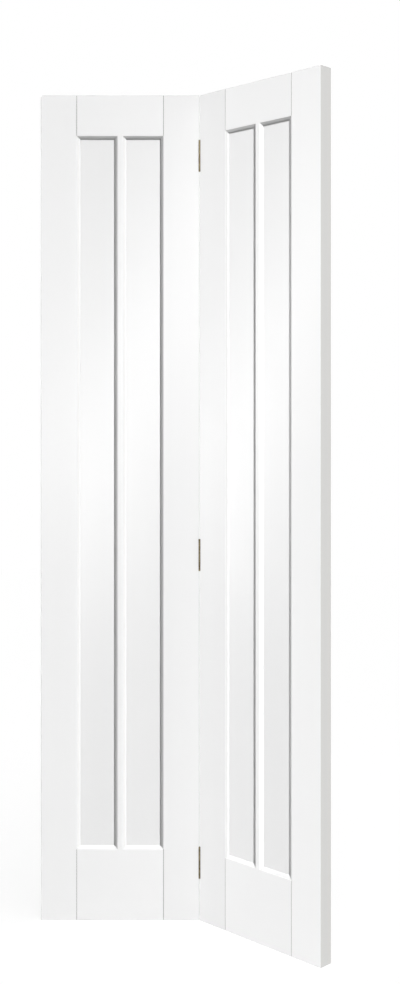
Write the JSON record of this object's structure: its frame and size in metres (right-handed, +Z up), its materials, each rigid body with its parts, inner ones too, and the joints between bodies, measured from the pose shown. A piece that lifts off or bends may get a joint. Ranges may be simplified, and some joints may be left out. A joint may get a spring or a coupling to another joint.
{
  "type": "bi-fold door",
  "caption": "White primed bi-fold door: two framed leaves with tall flat recessed panels, joined by butt hinges at the fold and shown part folded.",
  "frame": {"origin": "mouth of the bottom pivot bore, in the bottom edge of the pivot leaf's outer stile, at floor level", "axes": "+Z up; +X along the pivot leaf from the pivot towards the fold; +Y through the pivot leaf away from the side the hinge knuckles show on"},
  "size_m": [0.6752, 0.3042, 1.981],
  "materials": {
    "primed_frame": "satin white primer",
    "primed_panel": "satin white primer",
    "hinge_plate": "dull brass plate",
    "hinge_pin": "dull brass plate"
  },
  "bodies": {
    "root": {"pivot_leaf_outer_stile": "primed_frame", "pivot_leaf_fold_stile": "primed_frame", "pivot_leaf_top_rail": "primed_frame", "pivot_leaf_bottom_rail": "primed_frame", "pivot_leaf_mullion": "primed_frame", "pivot_leaf_outer_panel": "primed_panel", "pivot_leaf_fold_panel": "primed_panel", "lead_leaf_outer_stile": "primed_frame", "lead_leaf_fold_stile": "primed_frame", "lead_leaf_top_rail": "primed_frame", "lead_leaf_bottom_rail": "primed_frame", "lead_leaf_mullion": "primed_frame", "lead_leaf_outer_panel": "primed_panel", "lead_leaf_fold_panel": "primed_panel", "top_hinge_pivot_plate": "hinge_plate", "top_hinge_lead_plate": "hinge_plate", "top_hinge_pin": "hinge_pin", "middle_hinge_pivot_plate": "hinge_plate", "middle_hinge_lead_plate": "hinge_plate", "middle_hinge_pin": "hinge_pin", "bottom_hinge_pivot_plate": "hinge_plate", "bottom_hinge_lead_plate": "hinge_plate", "bottom_hinge_pin": "hinge_pin"}
  },
  "joints": []
}
